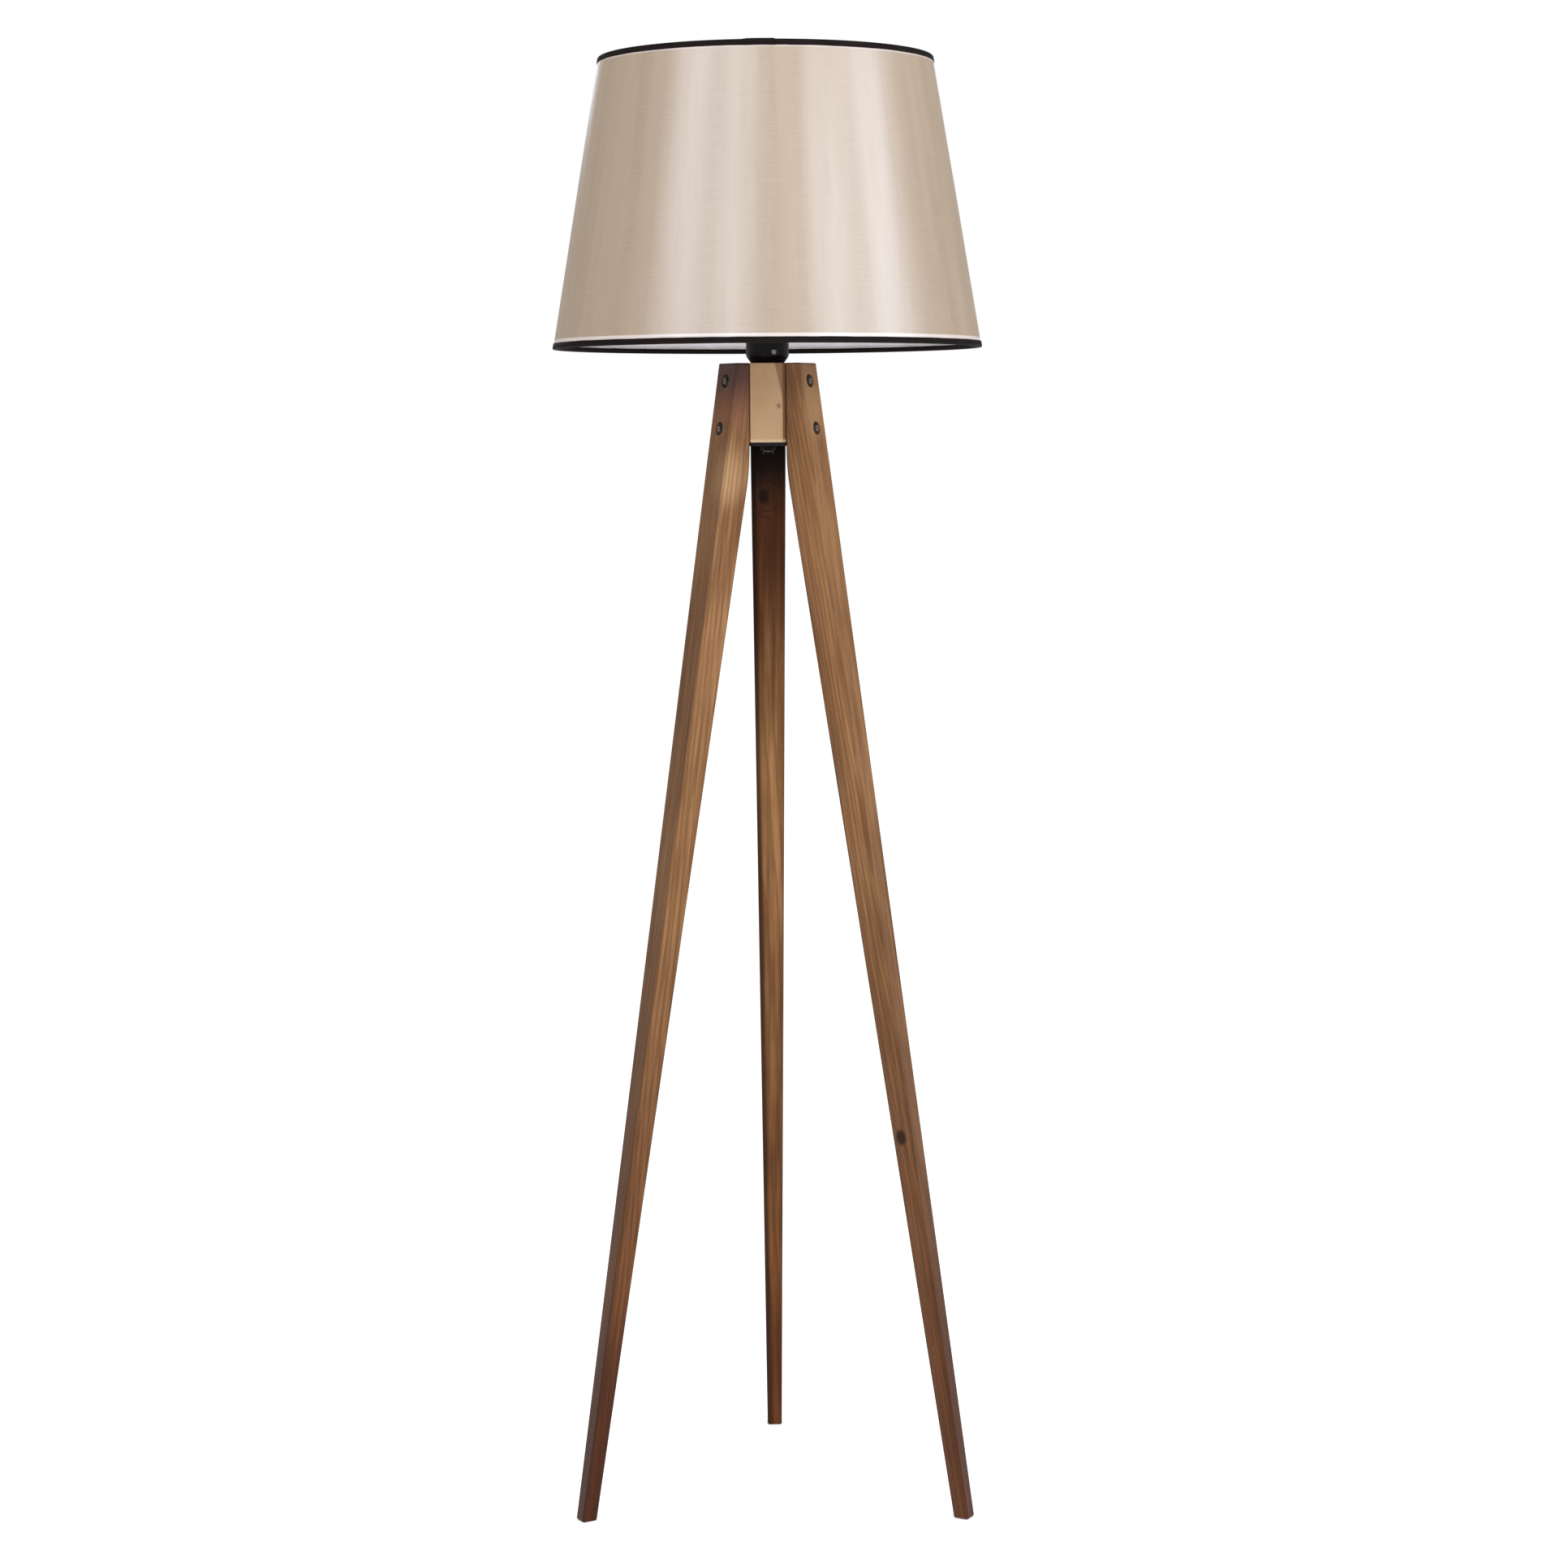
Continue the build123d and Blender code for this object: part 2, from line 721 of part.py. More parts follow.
nodes = {
    "head_block": head_block(),
    "head_plate": head_plate(),
    "threaded_tube": threaded_tube(),
    "tube_washer": tube_washer(),
    "tube_nut": tube_nut(),
    "cord_inlet": cord_inlet(),
    "holder_cap": holder_cap(),
    "holder_lock_screw": pointed_outwards(lock_screw(), lock_screw_azimuth, head_top + lock_screw_height),
    "contact_carrier": contact_carrier(),
    "terminal_screws": Compound(terminal_screws()),
    "centre_contact": centre_contact(),
    "screw_shell": screw_shell(),
    "holder_skirt": holder_skirt(),
    "shade_ring": shade_ring(),
    "lamp_screw_cap": lamp_screw_cap(),
    "lamp_insulator": lamp_insulator(),
    "lamp_tip_contact": lamp_tip_contact(),
    "lamp_housing": lamp_housing(),
    "led_board": led_board(),
    "lamp_diffuser": lamp_diffuser(),
    "shade_fitter": fitter_ring,
    "shade_spokes": Compound([piece - fitter_ring - lower_wire for piece in three_spokes(spoke_radius)]),
    "shade_lower_wire": lower_wire,
    "shade_upper_wire": rim_wire(upper_rim - tape_thickness - rim_wire_radius),
    "shade_liner": cone_wall(fabric_thickness, liner_thickness),
    "shade_fabric": cone_wall(0.0, fabric_thickness),
    "shade_upper_tape": lapped_tape(upper_rim, -1, upper_lap_azimuth),
    "shade_lower_tape": lower_tape,
}

for name, azimuth in leg_azimuths.items():
    nodes[name] = Rot(0, 0, azimuth) * leg()

for row, (height, length) in bolt_rows.items():
    bolts = []
    for azimuth in leg_azimuths.values():
        bolts.append(pointed_outwards(leg_bolt(seat_distance(height), length), azimuth, height))
    nodes[f"leg_bolts_{row}"] = Compound(bolts)

nodes["threaded_inserts"] = Compound([
    pointed_outwards(threaded_insert(), azimuth, height)
    for azimuth in leg_azimuths.values()
    for height, _ in bolt_rows.values()
])

os.makedirs("parts", exist_ok=True)
for name, shape in nodes.items():
    export_step(shape, f"parts/{name}.step")
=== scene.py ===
"""Tripod floor lamp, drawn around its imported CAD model.

Metres, in the frame of the CAD model: +Z up, the floor at 0, the lamp's vertical axis at x = y = 0, and
-Y the front. The wood, metal and plastic parts keep their CAD shapes and get materials here. The shade's
cloth and its two binding tapes are made here, as meshes that follow the CAD cone.
"""
import math

import bpy
from mathutils import Matrix, Vector, noise


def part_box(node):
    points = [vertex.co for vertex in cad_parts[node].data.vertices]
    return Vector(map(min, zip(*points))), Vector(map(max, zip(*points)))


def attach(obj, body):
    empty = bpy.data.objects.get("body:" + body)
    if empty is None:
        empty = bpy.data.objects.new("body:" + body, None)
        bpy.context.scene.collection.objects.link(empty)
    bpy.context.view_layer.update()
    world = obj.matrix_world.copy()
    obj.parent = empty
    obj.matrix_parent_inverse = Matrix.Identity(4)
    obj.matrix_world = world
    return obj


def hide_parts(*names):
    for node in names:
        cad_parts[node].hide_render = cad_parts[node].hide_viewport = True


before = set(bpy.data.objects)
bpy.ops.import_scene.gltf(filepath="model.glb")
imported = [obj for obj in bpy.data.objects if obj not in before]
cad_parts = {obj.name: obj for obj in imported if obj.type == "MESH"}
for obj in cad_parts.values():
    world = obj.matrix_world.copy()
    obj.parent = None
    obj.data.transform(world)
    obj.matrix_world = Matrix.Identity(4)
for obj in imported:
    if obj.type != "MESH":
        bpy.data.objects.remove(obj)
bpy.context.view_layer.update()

MM = 0.001
UP = Vector((0, 0, 1))

# Head block and legs
HEAD_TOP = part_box("head_block")[1].z
HEAD_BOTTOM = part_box("head_block")[0].z
LEG_TOP_WIDTH = 39 * MM
LEG_FOOT_WIDTH = 16.4 * MM
LEG_OUTER_TOP = 48 * MM
LEG_OUTER_FOOT = 238 * MM
LEG_INNER_TOP = 32 * MM
LEG_INNER_FOOT = 220.8 * MM
LEG_MATING_BOTTOM = 1098 * MM
LEG_FOOT_CENTRE = (LEG_OUTER_FOOT + LEG_INNER_FOOT) / 2
LEG_TILT = math.radians(9.3)
LEG_AZIMUTHS = (90, 210, 330)
BOLT_ROWS = (1190 * MM, 1140.8 * MM)
BOLT_HIGHLIGHT_RADIUS = 3.0 * MM

# Wood: growth rings, the legs' tints that multiply their colour, and the block's darker corner
LEG_RING_WIDTH = 3.4 * MM
FOOT_TINT = (0.36, 0.18, 0.05, 1.0)
FOOT_TINT_LENGTH = 800 * MM
# The tint of the painted shade, with some dark stain, on a leg's inner face under the head
UNDER_HEAD_SHADE_AND_STAIN = (0.20, 0.07, 0.01, 1.0)
BLOCK_RING_WIDTH = 2.9 * MM
BLOCK_FRONT = -34 * MM
DARK_CORNER_SLOPE = 0.22
KNOT_RINGS = 5
KNOT_BULGE = 8 * MM

# Shade
SHADE_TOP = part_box("shade_upper_tape")[1].z
SHADE_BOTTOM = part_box("shade_lower_tape")[0].z
SHADE_HEIGHT = 300 * MM
SHADE_TOP_RADIUS = 173.6 * MM
SHADE_BOTTOM_RADIUS = 224.2 * MM
CLOTH_THICKNESS = 0.6 * MM
CLOTH_WAVE = 0.25 * MM
THREADS_AROUND = 2600
THREADS_UP = 700
SEAM_AZIMUTH = math.radians(97)
SEAM_WIDTH = 12 * MM
LINER_THICKNESS = 0.7 * MM
WIRE_ALLOWANCE = 3.4 * MM
TAPE_THICKNESS = 0.8 * MM
TAPE_OUTER_HEIGHT = 6 * MM
TAPE_INNER_HEIGHT = 5 * MM
TAPE_LAP = 28 * MM
TAPE_LAP_THICKNESS = 0.6 * MM
TAPE_LAP_RAMP = 5 * MM
TAPE_FOLD_RADIUS = 1.1 * MM
TAPE_WAVE = 0.22 * MM
TAPE_RIBS = 1300
UNROLL_RADIUS = 200 * MM

# Camera, for a 36 mm wide sensor
CAMERA_PLACE = Vector((0, -3.5316, 1.1323))
CAMERA_PITCH = math.radians(5.938)
CAMERA_YAW = math.radians(0.235)
CAMERA_ROLL = math.radians(0.37)
SENSOR = 36.0
LENS = 76.71

# Studio; each softbox has its azimuth from the front, width, height of its middle and radiance
FLOOR_REACH = 30.0
FLOOR_CORNERS = 72
STRIPS = (
    (-46, 0.5, 2.30, 12.8),
    (-17, 0.55, 2.30, 10.4),
    (36, 0.65, 1.98, 10.6),
    (69, 0.6, 1.98, 12.8),
    (173, 0.8, 2.40, 6.0),
    (-164, 0.8, 2.40, 6.0),
)
STRIP_LENGTH = 1.3
STRIP_DISTANCE = 2.4
STRIP_COLOUR = (0.82, 0.92, 1.07)
ROOM_STRENGTH = 0.40


def linear(code):
    """A colour from its six-digit screen code, as the shaders use it."""
    shares = [int(code[place:place + 2], 16) / 255 for place in (0, 2, 4)]
    return [s / 12.92 if s <= 0.04045 else ((s + 0.055) / 1.055) ** 2.4 for s in shares] + [1.0]


def shade_radius(height):
    """Radius of the cloth's outside at a height."""
    share = (height - (SHADE_TOP - SHADE_HEIGHT)) / SHADE_HEIGHT
    return SHADE_BOTTOM_RADIUS + (SHADE_TOP_RADIUS - SHADE_BOTTOM_RADIUS) * share


class Paint:
    """A material being made: each method adds a shader node and gives its output."""

    def __init__(self, name):
        self.material = bpy.data.materials.new(name)
        self.material.use_nodes = True
        self.nodes = self.material.node_tree.nodes
        self.links = self.material.node_tree.links
        self.shader = self.nodes["Principled BSDF"]
        self.place = self.nodes.new("ShaderNodeTexCoord").outputs["Object"]

    def feed(self, socket, value):
        """Links a node's output to a socket, or sets the socket to a plain value."""
        if isinstance(value, bpy.types.NodeSocket):
            self.links.new(value, socket)
        else:
            socket.default_value = value

    def math(self, operation, *values):
        node = self.nodes.new("ShaderNodeMath")
        node.operation = operation
        for socket, value in zip(node.inputs, values):
            self.feed(socket, value)
        return node.outputs[0]

    def plus(self, first, second):
        return self.math("ADD", first, second)

    def minus(self, first, second):
        return self.math("SUBTRACT", first, second)

    def times(self, first, second):
        return self.math("MULTIPLY", first, second)

    def scaled(self, value, factor, offset):
        """A value times a factor, plus an offset."""
        return self.math("MULTIPLY_ADD", value, factor, offset)

    def absolute(self, value):
        return self.math("ABSOLUTE", value)

    def vector(self, operation, *values):
        node = self.nodes.new("ShaderNodeVectorMath")
        node.operation = operation
        for socket, value in zip(node.inputs, values):
            self.feed(socket, value)
        return node.outputs["Value" if operation in ("DOT_PRODUCT", "LENGTH") else "Vector"]

    def length(self, vector):
        return self.vector("LENGTH", vector)

    def joined(self, x, y, z):
        """A vector from its three parts."""
        node = self.nodes.new("ShaderNodeCombineXYZ")
        for socket, value in zip(node.inputs, (x, y, z)):
            self.feed(socket, value)
        return node.outputs[0]

    def parts(self, vector):
        """The three parts of a vector."""
        node = self.nodes.new("ShaderNodeSeparateXYZ")
        self.feed(node.inputs[0], vector)
        return node.outputs

    def along(self, direction, start=0.0):
        """Distance along a direction, from a start."""
        return self.minus(self.vector("DOT_PRODUCT", self.place, direction), start)

    def noise(self, place, stretch, detail=3.0, roughness=0.55):
        """Noise from 0 to 1 with a number of features per metre along each axis."""
        node = self.nodes.new("ShaderNodeTexNoise")
        self.feed(node.inputs["Vector"], self.vector("MULTIPLY", place, stretch))
        node.inputs["Scale"].default_value = 1.0
        node.inputs["Detail"].default_value = detail
        node.inputs["Roughness"].default_value = roughness
        return node.outputs["Fac"]

    def step(self, value, low, high, start=0.0, end=1.0):
        """Rises smoothly from start to end while value goes from low to high."""
        node = self.nodes.new("ShaderNodeMapRange")
        node.interpolation_type = "SMOOTHSTEP"
        for socket, given in zip(node.inputs, (value, low, high, start, end)):
            self.feed(socket, given)
        return node.outputs[0]

    def bump(self, height, distance, strength):
        """A normal for a relief whose height from 0 to 1 stands for a distance."""
        node = self.nodes.new("ShaderNodeBump")
        self.feed(node.inputs["Height"], height)
        node.inputs["Distance"].default_value = distance
        node.inputs["Strength"].default_value = strength
        return node.outputs[0]

    def mix(self, share, first, second, blend="MIX"):
        """The first colour at a share of 0, and its blend with the second at 1."""
        node = self.nodes.new("ShaderNodeMix")
        node.data_type = "RGBA"
        node.blend_type = blend
        self.feed(node.inputs["Factor"], share)
        sockets = [socket for socket in node.inputs if socket.type == "RGBA"]
        self.feed(sockets[0], first)
        self.feed(sockets[1], second)
        return [socket for socket in node.outputs if socket.type == "RGBA"][0]

    def layered(self, colour, layers):
        """A colour with others laid over it in turn, each with its share and its screen code."""
        for share, code in layers:
            colour = self.mix(share, colour, linear(code))
        return colour

    def finish(self, **sockets):
        """The finished material: feeds the shader's sockets, named with _ for each space."""
        for name, value in sockets.items():
            self.feed(self.shader.inputs[name.replace("_", " ")], value)
        return self.material


def wood_grain(paint, across, depth, length, heart, ring_width, seed, knots=()):
    """Growth rings, fibres and knots of sawn softwood. Gives (rings, fibres, blotches, knot darkness).

    A knot is its centre and its half sizes. The heart is its place across and in depth, then its drift
    along the grain in each of the two.
    """
    local = paint.joined(across, depth, paint.plus(length, seed))
    sway = paint.noise(local, (9, 9, 2.2), detail=2)
    bulge = paint.times(paint.minus(sway, 0.5), 16 * MM)
    knot_dark = 0.0
    for place, reach in knots:
        gap = paint.vector("SUBTRACT", paint.joined(across, depth, length), place)
        near = paint.length(paint.vector("DIVIDE", gap, reach))
        core = paint.step(near, 0.55, 1.15, 1.0, 0.0)
        halo = paint.step(near, 0.8, 3.2, 1.0, 0.0)
        bulge = paint.plus(bulge, paint.times(halo, KNOT_BULGE))
        ring = paint.math("SINE", paint.times(near, 2 * math.pi * KNOT_RINGS))
        ring = paint.times(paint.plus(ring, 1.0), 0.12)
        spot = paint.times(core, paint.minus(1.0, ring))
        knot_dark = paint.math("MAXIMUM", knot_dark, spot)
    from_heart = paint.vector("SUBTRACT", paint.joined(across, depth, 0.0), (heart[0], heart[1], 0.0))
    drift = paint.vector("MULTIPLY", paint.joined(length, length, 0.0), (heart[2], heart[3], 0.0))
    radius = paint.plus(paint.length(paint.vector("ADD", from_heart, drift)), bulge)
    turn = paint.math("FRACT", paint.math("DIVIDE", radius, ring_width))
    late = paint.step(turn, 0.35, 0.86)
    drop = paint.step(turn, 0.90, 1.0, 1.0, 0.0)
    rings = paint.times(late, drop)
    fibres = paint.noise(local, (1400, 1400, 22), detail=2, roughness=0.6)
    blotches = paint.noise(local, (26, 26, 5.5), detail=3, roughness=0.6)
    return rings, fibres, blotches, knot_dark


class LegPlace:
    """Where a point of a leg is: along the leg's own three axes, and how far from each of its faces.

    Across is positive to the left, seen from the lamp's axis.
    """

    def __init__(self, paint, azimuth):
        turn = math.radians(azimuth)
        radial = Vector((math.cos(turn), math.sin(turn), 0))
        side = Vector((-math.sin(turn), math.cos(turn), 0))
        lengthwise = UP * math.cos(LEG_TILT) - radial * math.sin(LEG_TILT)
        outwards = radial * math.cos(LEG_TILT) + UP * math.sin(LEG_TILT)
        self.across = paint.along(side)
        self.depth = paint.along(outwards, LEG_FOOT_CENTRE * math.cos(LEG_TILT))
        self.length = paint.along(lengthwise, -LEG_FOOT_CENTRE * math.sin(LEG_TILT))
        self.local = paint.joined(self.across, self.depth, self.length)
        self.height = paint.parts(paint.place)[2]
        distance = paint.along(radial)
        widening = (LEG_TOP_WIDTH - LEG_FOOT_WIDTH) / HEAD_TOP
        half_width = paint.scaled(self.height, widening / 2, LEG_FOOT_WIDTH / 2)
        outer_lean = (LEG_OUTER_TOP - LEG_OUTER_FOOT) / HEAD_TOP
        outer = paint.scaled(self.height, outer_lean, LEG_OUTER_FOOT)
        inner_lean = (LEG_INNER_TOP - LEG_INNER_FOOT) / LEG_MATING_BOTTOM
        inner = paint.math("MAXIMUM", paint.scaled(self.height, inner_lean, LEG_INNER_FOOT), LEG_INNER_TOP)
        self.from_left = paint.minus(half_width, self.across)
        self.from_side = paint.minus(half_width, paint.absolute(self.across))
        self.from_outside = paint.minus(outer, distance)
        self.from_inside = paint.minus(distance, inner)


def near_edges(paint, leg):
    """1 along a leg's long edges and 0 a few millimetres away from them, with a ragged border."""
    from_face = paint.math("MINIMUM", leg.from_outside, leg.from_inside)
    gap = paint.math("MAXIMUM", leg.from_side, from_face)
    ragged = paint.noise(leg.local, (90, 90, 14), detail=3)
    gap = paint.minus(gap, paint.times(ragged, 4.0 * MM))
    return paint.step(gap, -2.5 * MM, 3.0 * MM, 1.0, 0.0)


def stained_wood(
    name, azimuth, seed, heart, knots=(), light_patches=(),
    dark_top=0.0, dark_foot=0.0, painted_shade_inside=0.0, painted_shade_outside=0.0, painted_shade_left=0.0,
    edge_stain_and_shade=0.28, shade_and_stain_under_head=0.0, gloss=0.15,
):
    """Brown-stained softwood for one leg, with its grain along the leg, uneven stain and painted shade.

    A light patch is its centre and its half sizes. Each dark share goes from 0 to 1: towards the top and
    the foot; as painted shade on the inner and the outer face and on the left side; and as stain with
    painted shade along the edges. The share under the head is painted shade, with some dark stain, on the
    inner face under the head.
    """
    paint = Paint(name)
    leg = LegPlace(paint, azimuth)
    rings, fibres, blotches, knot_dark = wood_grain(
        paint, leg.across, leg.depth, leg.length, heart, LEG_RING_WIDTH, seed, knots
    )
    streaks = paint.noise(
        paint.joined(leg.across, leg.depth, paint.plus(leg.length, seed * 3)), (260, 260, 7), detail=2
    )
    tone = paint.minus(paint.scaled(blotches, 1.25, -0.15), 0.45)
    tone = paint.scaled(streaks, 0.9, tone)
    colour = paint.mix(paint.step(tone, 0.10, 0.90), linear("6A4425"), linear("9B6F46"))
    for place, reach in light_patches:
        gap = paint.vector("SUBTRACT", leg.local, place)
        near = paint.length(paint.vector("DIVIDE", gap, reach))
        colour = paint.mix(paint.step(near, 0.2, 1.0, 0.75, 0.0), colour, linear("AB8459"))
    colour = paint.layered(colour, (
        (paint.times(rings, 0.42), "5A3518"),
        (paint.step(fibres, 0.45, 0.80, 0.0, 0.35), "4E2F18"),
    ))
    # Darker towards the foot
    foot = paint.step(leg.length, 0.0, FOOT_TINT_LENGTH, dark_foot, 0.0)
    colour = paint.mix(foot, colour, FOOT_TINT, "MULTIPLY")

    # Painted shade on the faces, then darker towards the top and on its rim, and stain with painted
    # shade along the edges
    patchy = paint.step(blotches, 0.25, 0.6, 0.75, 1.0)
    warm = paint.step(leg.height, HEAD_TOP - 80 * MM, HEAD_TOP - 40 * MM, 0.0, dark_top * 0.7)
    dark = paint.step(leg.height, HEAD_TOP - 55 * MM, HEAD_TOP - 8 * MM, 0.0, dark_top)
    rim_dark = 0.35 + 0.45 * dark_top
    colour = paint.layered(colour, (
        # Painted shade: the faces turned away from the softboxes are drawn darker
        (paint.step(leg.from_inside, 2 * MM, 20 * MM, painted_shade_inside, 0.0), "583825"),
        (paint.step(leg.from_outside, 0.6 * MM, 4 * MM, painted_shade_outside, 0.0), "3C2516"),
        (paint.step(leg.from_left, 3 * MM, 7.5 * MM, painted_shade_left, 0.0), "2A1306"),
        (paint.times(warm, patchy), "70442F"),
        (paint.times(dark, patchy), "3F2D2A"),
        (paint.step(leg.height, HEAD_TOP - 2.4 * MM, HEAD_TOP - 1.0 * MM, 0.0, rim_dark), "24140C"),
        # Stain with painted shade along the rounded long edges
        (paint.times(near_edges(paint, leg), edge_stain_and_shade), "3B2010"),
    ))

    # Painted shade, with some dark stain, on the inner face under the head, and the knots
    at_inside = paint.step(leg.from_inside, 1 * MM, 5 * MM, 1.0, 0.0)
    shaded = paint.step(leg.height, HEAD_BOTTOM - 340 * MM, HEAD_BOTTOM - 100 * MM, 0.0, shade_and_stain_under_head * 0.85)
    colour = paint.mix(paint.times(shaded, at_inside), colour, UNDER_HEAD_SHADE_AND_STAIN, "MULTIPLY")
    deep_shade_and_stain = paint.step(leg.height, HEAD_BOTTOM - 85 * MM, HEAD_BOTTOM - 15 * MM, 0.0, shade_and_stain_under_head)
    colour = paint.layered(colour, (
        (paint.times(deep_shade_and_stain, at_inside), "0C0502"),
        (knot_dark, "1C0D04"),
    ))
    relief = paint.scaled(rings, -0.6, paint.times(fibres, 0.5))
    return paint.finish(
        Base_Color=colour,
        Roughness=paint.scaled(fibres, 0.18, 0.36),
        Specular_IOR_Level=gloss,
        Normal=paint.bump(relief, 0.12 * MM, 0.6),
    )


def pale_wood():
    """Planed pale softwood for the head block, with an upright grain, a darker corner and a small knot."""
    paint = Paint("pale wood")
    x, y, z = paint.parts(paint.place)
    knot_place = Vector((11.4 * MM, BLOCK_FRONT, HEAD_TOP - 44.5 * MM))
    knot_reach = Vector((2.5, 7, 3.3)) * MM
    heart = (-52 * MM, 30 * MM, 0.012, 0.02)
    rings, fibres, blotches, knot_dark = wood_grain(
        paint, x, y, z, heart, BLOCK_RING_WIDTH, 4.7, [(knot_place, knot_reach)]
    )
    uneven = paint.step(paint.noise(paint.place, (70, 70, 9)), 0.3, 0.7, 0.06, 0.36)
    colour = paint.mix(paint.step(blotches, 0.25, 0.75), linear("A5825E"), linear("B7956F"))
    colour = paint.layered(colour, (
        (paint.step(z, HEAD_BOTTOM, HEAD_TOP - 20 * MM, 0.35, 0.0), "977351"),
        (paint.times(rings, uneven), "A0754E"),
        (paint.step(fibres, 0.5, 0.85, 0.0, 0.22), "8F6A48"),
    ))

    # On its front: a darker triangle over the right-hand corner, and painted shade in the strips beside the
    # two legs
    in_front = paint.step(y, -25 * MM, -15 * MM, 1.0, 0.0)
    wander = paint.times(paint.minus(paint.noise(paint.place, (60, 60, 40)), 0.5), 1.6 * MM)
    slope = paint.scaled(z, -DARK_CORNER_SLOPE, 16.0 * MM + DARK_CORNER_SLOPE * (HEAD_TOP - 40 * MM))
    border = paint.minus(paint.math("MINIMUM", slope, 15.7 * MM), x)
    dark_corner = paint.step(paint.plus(border, wander), -0.8 * MM, 0.6 * MM, 0.8, 0.0)
    right_gap_shade = paint.step(paint.plus(x, wander), 14.2 * MM, 16.6 * MM, 0.0, 0.85)
    left_gap_shade = paint.step(x, -19.0 * MM, -17.4 * MM, 0.7, 0.0)
    smudge_place = (-7.7 * MM, BLOCK_FRONT, HEAD_TOP - 38 * MM)
    from_smudge = paint.length(paint.vector("SUBTRACT", paint.place, smudge_place))
    colour = paint.layered(colour, (
        (paint.times(dark_corner, in_front), "79573A"),
        (paint.times(right_gap_shade, in_front), "5C391D"),
        (paint.times(left_gap_shade, in_front), "8A5A40"),
        (paint.step(from_smudge, 1 * MM, 8 * MM, 0.35, 0.0), "9C7450"),
        # Painted highlight: a paler band along the block's lower chamfer
        (paint.step(z, HEAD_BOTTOM + 1 * MM, HEAD_BOTTOM + 5 * MM, 0.4, 0.0), "D8BC9A"),
        (paint.times(knot_dark, 0.85), "7E4A2E"),
    ))
    return paint.finish(
        Base_Color=colour,
        Roughness=paint.scaled(fibres, 0.2, 0.45),
        Specular_IOR_Level=0.25,
        Normal=paint.bump(paint.minus(fibres, rings), 0.1 * MM, 0.5),
    )


def metal(name, base, worn, roughness, metallic=1.0, specular=0.5):
    """Plated or oiled metal with fine scratches and duller patches."""
    paint = Paint(name)
    patches = paint.noise(paint.place, (225, 225, 225), detail=4)
    grit = paint.noise(paint.place, (2700, 2700, 900), detail=3, roughness=0.7)
    colour = paint.mix(paint.step(patches, 0.3, 0.75), linear(base), linear(worn))
    colour = paint.mix(paint.step(grit, 0.55, 0.75, 0.0, 0.25), colour, linear(worn))
    shine = paint.scaled(patches, 0.25, roughness - 0.12)
    shine = paint.scaled(grit, 0.12, shine)
    return paint.finish(
        Base_Color=colour,
        Metallic=metallic,
        Specular_IOR_Level=specular,
        Roughness=shine,
        Normal=paint.bump(grit, 0.02 * MM, 0.4),
    )


def bolt_steel():
    """Blackened bolts, with a painted brownish-grey highlight on the top of each head."""
    paint = Paint("bolt steel")
    height = paint.parts(paint.place)[2]
    across = None
    for azimuth in LEG_AZIMUTHS:
        turn = math.radians(azimuth)
        gap = paint.absolute(paint.along(Vector((-math.sin(turn), math.cos(turn), 0))))
        across = gap if across is None else paint.math("MINIMUM", across, gap)
    above, below = (paint.absolute(paint.minus(height, row)) for row in BOLT_ROWS)
    from_axis = paint.length(paint.joined(across, paint.math("MINIMUM", above, below), 0.0))
    scratches = paint.noise(paint.place, (900, 900, 900), detail=4)
    ragged_from_axis = paint.scaled(scratches, 1.6 * MM, from_axis)
    colour = paint.mix(paint.step(scratches, 0.3, 0.75), linear("080605"), linear("151110"))
    # Painted highlight: a brownish-grey spot on the top of each head
    painted_highlight = paint.step(ragged_from_axis, BOLT_HIGHLIGHT_RADIUS, BOLT_HIGHLIGHT_RADIUS + 1.2 * MM, 0.9, 0.0)
    colour = paint.mix(painted_highlight, colour, linear("7D6753"))
    return paint.finish(
        Base_Color=colour,
        Metallic=0.05,
        Specular_IOR_Level=0.25,
        Roughness=paint.scaled(scratches, 0.25, 0.45),
        Normal=paint.bump(scratches, 0.04 * MM, 0.5),
    )


def plastic(name, base, shade, roughness, relief=0.02 * MM, specular=0.45):
    """Moulded plastic with a faint mottle and a fine spark-eroded texture."""
    paint = Paint(name)
    mottle = paint.noise(paint.place, (70, 70, 70), detail=4)
    texture = paint.noise(paint.place, (2100, 2100, 2100), detail=2)
    colour = paint.mix(paint.step(mottle, 0.3, 0.8), linear(base), linear(shade))
    colour = paint.mix(paint.step(texture, 0.62, 0.8, 0.0, 0.25), colour, linear(shade))
    return paint.finish(
        Base_Color=colour,
        Roughness=paint.scaled(mottle, 0.16, roughness - 0.08),
        Specular_IOR_Level=specular,
        Normal=paint.bump(texture, relief, 0.5),
    )


def led_plate():
    """The lamp's aluminium board: white solder mask between the emitters, whose tops are yellow."""
    paint = Paint("aluminium board")
    height = paint.parts(paint.place)[2]
    board_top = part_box("led_board")[1].z - 0.8 * MM
    grain = paint.noise(paint.place, (2000, 2000, 2000), detail=3)
    colour = paint.mix(paint.step(grain, 0.3, 0.7), linear("D8D8D4"), linear("EFEFEB"))
    emitter = paint.step(height, board_top + 0.4 * MM, board_top + 0.7 * MM)
    colour = paint.mix(emitter, colour, linear("E9C34A"))
    return paint.finish(
        Base_Color=colour,
        Roughness=paint.scaled(grain, 0.2, 0.35),
        Metallic=0.1,
    )


